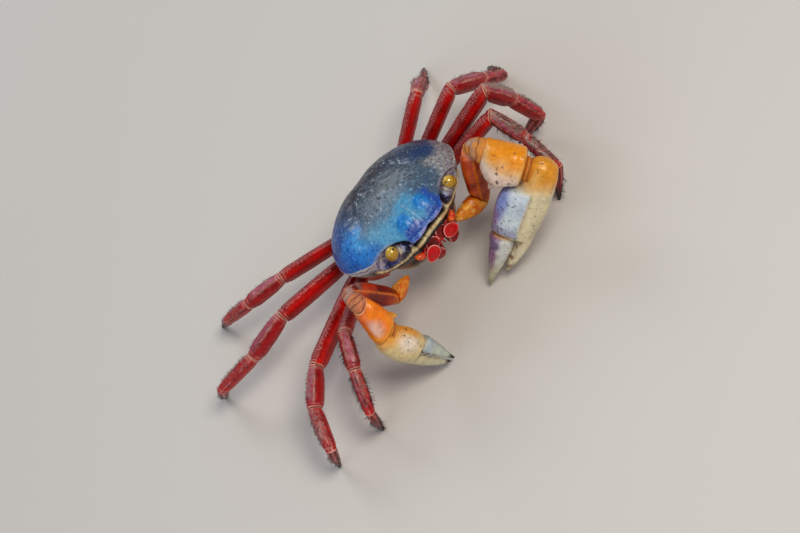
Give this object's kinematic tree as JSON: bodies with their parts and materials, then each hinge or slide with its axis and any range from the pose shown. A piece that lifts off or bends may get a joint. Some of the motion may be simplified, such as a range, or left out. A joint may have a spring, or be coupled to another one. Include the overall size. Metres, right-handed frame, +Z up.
{
  "type": "land crab",
  "caption": "Life-size museum model of a mouthless land crab: blue shell, red legs, one large amber claw, standing on its leg tips.",
  "frame": {"origin": "on the floor, under the middle of the box that the whole crab spans", "axes": "+X to the crab's left, across its widest span; -Y the way the crab faces; +Z up"},
  "size_m": [0.222, 0.155, 0.0663],
  "materials": {
    "shell_blue": "glossy cast shell, blue with a grey-olive middle, finely granular, clear lacquer",
    "shell_underside": "satin cream shell plates under the body",
    "mouth_red": "glossy bright red mouth plates with pale rims",
    "eyestalk_beige": "satin grey-beige stalk",
    "cornea_yellow": "glossy ochre-yellow cornea",
    "claw_arm_orange": "glossy orange-red arm plates with a granular pale edge",
    "claw_amber": "glossy amber plate with a pinkish-white sheen",
    "claw_cream": "glossy cream claw with a lavender upper face and small dark pits",
    "leg_red": "satin saturated red leg plates with a pinkish-grey wrinkled upper edge",
    "leg_joint_pink": "satin peach-red joint plates",
    "leg_tip_dark": "dark red-brown tapering tips with dark bristles"
  },
  "bodies": {
    "root": {"carapace": "shell_blue", "thorax": "shell_underside", "abdomen": "shell_underside", "eyestalk_left": "eyestalk_beige", "eye_left": "cornea_yellow", "maxilliped_left": "mouth_red", "claw_left_base": "claw_arm_orange", "claw_left_merus": "leg_red", "claw_left_carpus": "claw_amber", "claw_left_palm": "claw_cream", "claw_left_finger": "claw_cream", "leg_left_1_hip": "leg_joint_pink", "leg_left_1_merus": "leg_red", "leg_left_1_carpus": "leg_joint_pink", "leg_left_1_propodus": "leg_red", "leg_left_1_dactyl": "leg_tip_dark", "leg_left_2_hip": "leg_joint_pink", "leg_left_2_merus": "leg_red", "leg_left_2_carpus": "leg_joint_pink", "leg_left_2_propodus": "leg_red", "leg_left_2_dactyl": "leg_tip_dark", "leg_left_3_hip": "leg_joint_pink", "leg_left_3_merus": "leg_red", "leg_left_3_carpus": "leg_joint_pink", "leg_left_3_propodus": "leg_red", "leg_left_3_dactyl": "leg_tip_dark", "leg_left_4_hip": "leg_joint_pink", "leg_left_4_merus": "leg_red", "leg_left_4_carpus": "leg_joint_pink", "leg_left_4_propodus": "leg_red", "leg_left_4_dactyl": "leg_tip_dark", "eyestalk_right": "eyestalk_beige", "eye_right": "cornea_yellow", "maxilliped_right": "mouth_red", "claw_right_base": "claw_arm_orange", "claw_right_merus": "leg_red", "claw_right_carpus": "claw_amber", "claw_right_palm": "claw_cream", "claw_right_finger": "claw_cream", "leg_right_1_hip": "leg_joint_pink", "leg_right_1_merus": "leg_red", "leg_right_1_carpus": "leg_joint_pink", "leg_right_1_propodus": "leg_red", "leg_right_1_dactyl": "leg_tip_dark", "leg_right_2_hip": "leg_joint_pink", "leg_right_2_merus": "leg_red", "leg_right_2_carpus": "leg_joint_pink", "leg_right_2_propodus": "leg_red", "leg_right_2_dactyl": "leg_tip_dark", "leg_right_3_hip": "leg_joint_pink", "leg_right_3_merus": "leg_red", "leg_right_3_carpus": "leg_joint_pink", "leg_right_3_propodus": "leg_red", "leg_right_3_dactyl": "leg_tip_dark", "leg_right_4_hip": "leg_joint_pink", "leg_right_4_merus": "leg_red", "leg_right_4_carpus": "leg_joint_pink", "leg_right_4_propodus": "leg_red", "leg_right_4_dactyl": "leg_tip_dark"}
  },
  "joints": []
}
